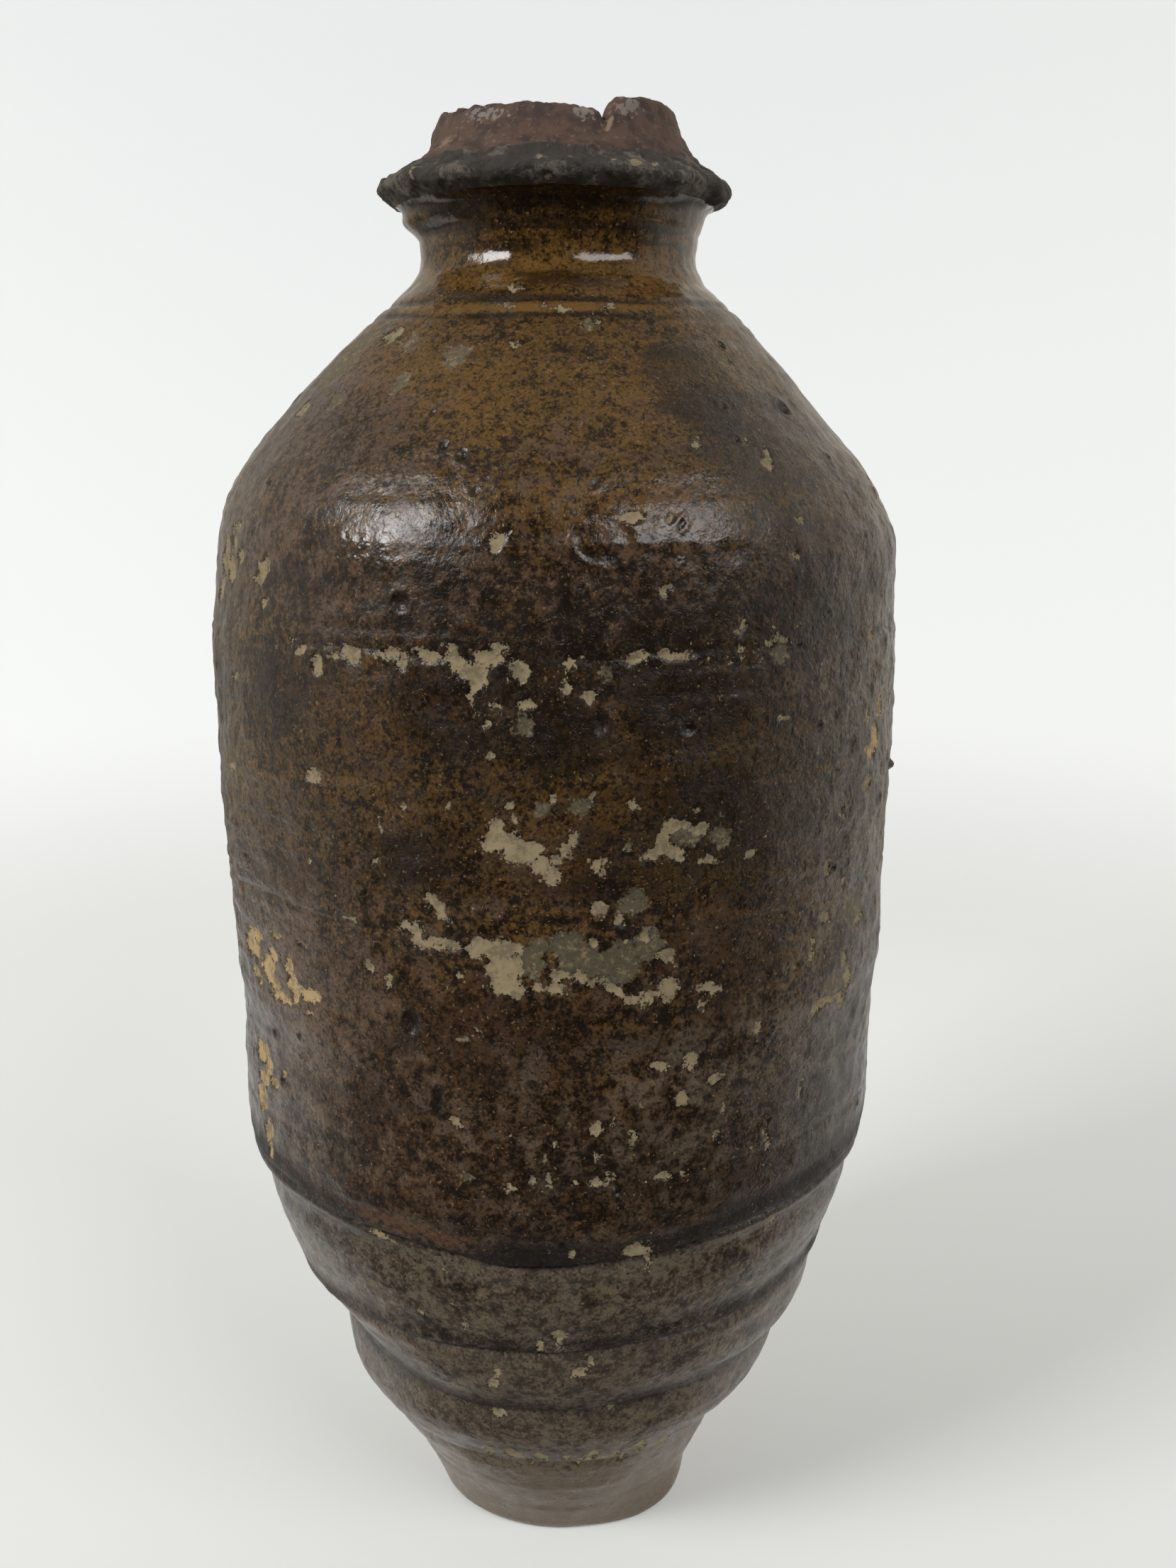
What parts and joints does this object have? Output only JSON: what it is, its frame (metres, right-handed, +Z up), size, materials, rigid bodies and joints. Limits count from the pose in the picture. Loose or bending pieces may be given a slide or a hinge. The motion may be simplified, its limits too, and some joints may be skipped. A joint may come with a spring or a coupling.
{
  "type": "sake bottle",
  "caption": "Tall stoneware sake bottle with a narrow tapered foot, coil-built ridged lower body, straight barrel, conical shoulder, waisted neck, flange and bare clay mouth.",
  "frame": {"origin": "centre of the foot's flat underside, which stands on the table", "axes": "+Z up along the bottle's axis to the mouth, -Y towards the front, +X to its right"},
  "size_m": [0.1334, 0.1334, 0.282],
  "materials": {
    "brown_glaze": "dark amber-brown ash glaze, glossy on the neck and shoulder, satin below, with dark specks and cream patches where it has flaked",
    "dark_glaze": "rough black-brown glaze, worn along the edge",
    "bare_clay": "matte reddish-brown bare clay with pale grey deposits along the rim"
  },
  "bodies": {
    "root": {"foot_disc": "brown_glaze", "foot_coil": "brown_glaze", "lower_coil_1": "brown_glaze", "lower_coil_2": "brown_glaze", "lower_coil_3": "brown_glaze", "barrel_coil_1": "brown_glaze", "barrel_coil_2": "brown_glaze", "barrel_coil_3": "brown_glaze", "shoulder_coil": "brown_glaze", "shoulder_cone": "brown_glaze", "neck_ring": "brown_glaze", "flange_ring": "dark_glaze", "mouth_collar": "bare_clay"}
  },
  "joints": []
}
